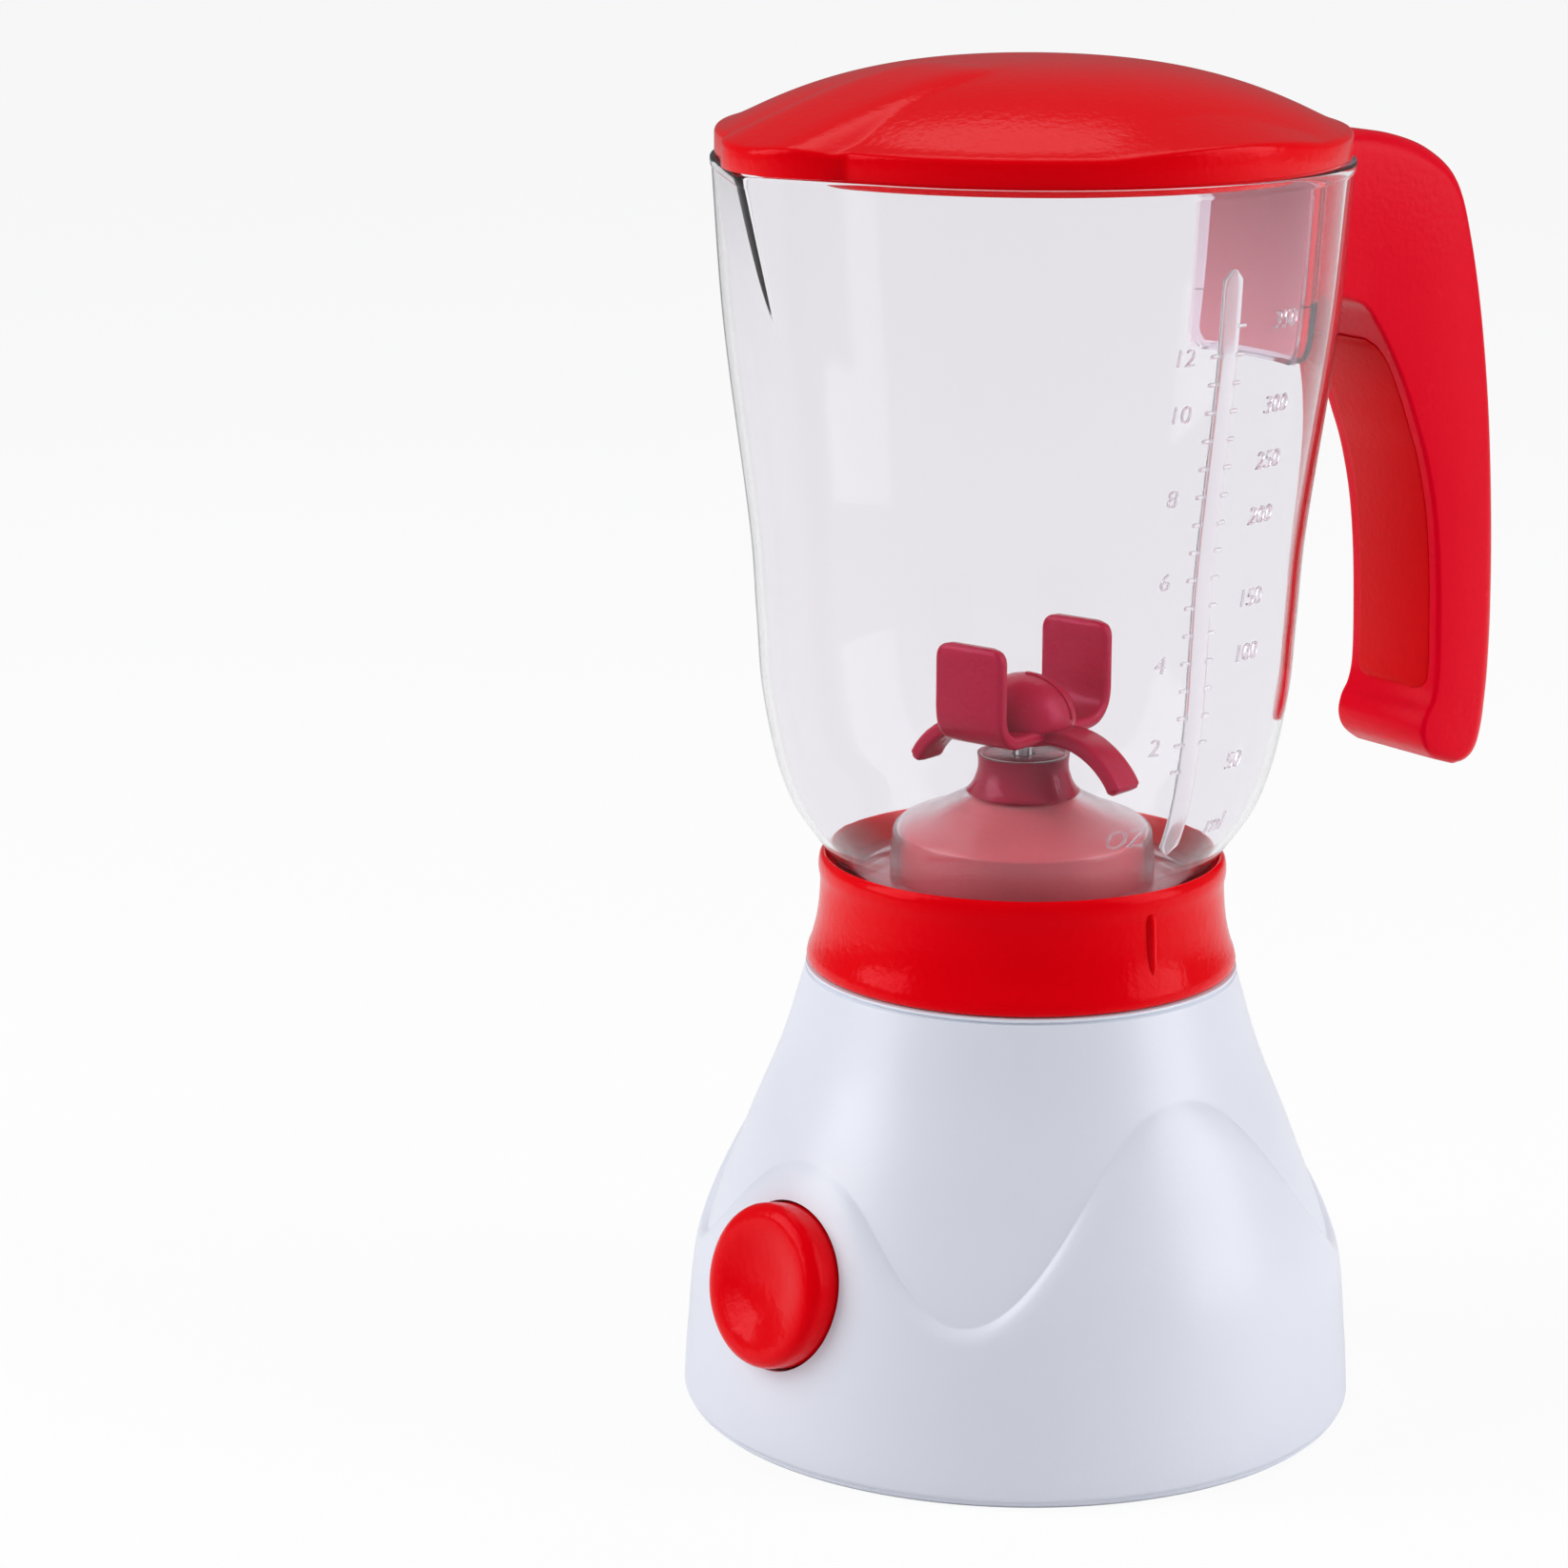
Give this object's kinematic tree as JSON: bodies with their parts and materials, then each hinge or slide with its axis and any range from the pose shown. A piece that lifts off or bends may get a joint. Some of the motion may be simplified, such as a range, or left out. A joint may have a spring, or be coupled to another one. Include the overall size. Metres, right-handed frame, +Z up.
{
  "type": "toy blender",
  "caption": "Battery-driven toy blender: waisted base with a push button, lift-off clear jug with spout, scale and handle, hinged lid, and a rotor turned by a motor through gears.",
  "frame": {"origin": "centre of the base's underside, on the surface that the toy stands on", "axes": "+Z is up along the axis of the jug and rotor; +X points at the handle; the spout and the push button are on the -X side."},
  "size_m": [0.1387, 0.0998, 0.1994],
  "materials": {
    "white_shell": "satin moulded polypropylene",
    "red_plastic": "glossy moulded ABS",
    "crimson_plastic": "glossy moulded ABS, deeper red",
    "clear_plastic": "clear moulded polystyrene",
    "steel": "turned or drawn steel",
    "brass": "pressed or turned brass",
    "gear_nylon": "natural acetal",
    "dark_plastic": "matte black nylon",
    "battery_foil": "plain printed cell jacket"
  },
  "bodies": {
    "base": {"base_housing": "white_shell", "bottom_plate": "white_shell", "battery_door": "white_shell", "battery_door_screw": "steel", "base_screws": "steel", "battery_cells": "battery_foil", "battery_contacts": "brass", "motor_can": "steel", "motor_end_cap": "dark_plastic", "gear_frame": "white_shell", "gear_cover": "white_shell", "gearbox_screws": "steel", "idler_axle": "steel", "collar": "red_plastic", "drive_dome": "red_plastic", "button_spring": "steel", "button_guide": "white_shell", "switch_body": "dark_plastic"},
    "button": {"power_button": "red_plastic", "switch_plunger": "red_plastic"},
    "pinion": {"motor_shaft": "steel", "motor_pinion": "brass"},
    "idler": {"reduction_gear": "gear_nylon"},
    "output": {"output_gear": "gear_nylon", "drive_shaft": "steel", "drive_dog": "gear_nylon"},
    "jug_body": {"jug": "clear_plastic", "neck_bush": "dark_plastic", "handle_shell": "red_plastic", "handle_cover": "red_plastic", "lid_hinge_pin": "steel"},
    "rotor": {"blade_shaft": "steel", "blade_rotor": "crimson_plastic", "blade_dog": "gear_nylon"},
    "lid_body": {"lid": "red_plastic"}
  },
  "joints": [
    {"name": "drive_spin", "type": "hinge", "parent": "base", "child": "output", "pos_m": [0, 0, 0.055], "axis": [0, 0, 1], "continuous": true},
    {"name": "idler_spin", "type": "hinge", "parent": "base", "child": "idler", "pos_m": [0, 0.0127, 0.052], "axis": [0, 0, 1], "continuous": true},
    {"name": "pinion_spin", "type": "hinge", "parent": "base", "child": "pinion", "pos_m": [-0.01048, 0.00665, 0.051], "axis": [0, 0, 1], "continuous": true},
    {"name": "button_press", "type": "slide", "parent": "base", "child": "button", "axis": [0.9758, 0.0682, -0.2079], "range_m": [0, 0.003], "stiffness_N_per_m": 300, "springref_m": -0.002, "deforming": ["button_spring"]},
    {"name": "jug_lift", "type": "slide", "parent": "base", "child": "jug_body", "axis": [0, 0, 1], "range_m": [0, 0.06]},
    {"name": "rotor_spin", "type": "hinge", "parent": "jug_body", "child": "rotor", "pos_m": [0, 0, 0.1], "axis": [0, 0, 1], "continuous": true},
    {"name": "lid_hinge", "type": "hinge", "parent": "jug_body", "child": "lid_body", "pos_m": [0.052, 0, 0.1857], "axis": [0, 1, 0], "range_deg": [0, 100]}
  ],
  "couplings": [
    {"joint": "idler_spin", "follows": "drive_spin", "ratio": -2.5},
    {"joint": "pinion_spin", "follows": "drive_spin", "ratio": 7.5},
    {"joint": "rotor_spin", "follows": "drive_spin", "ratio": 1}
  ]
}
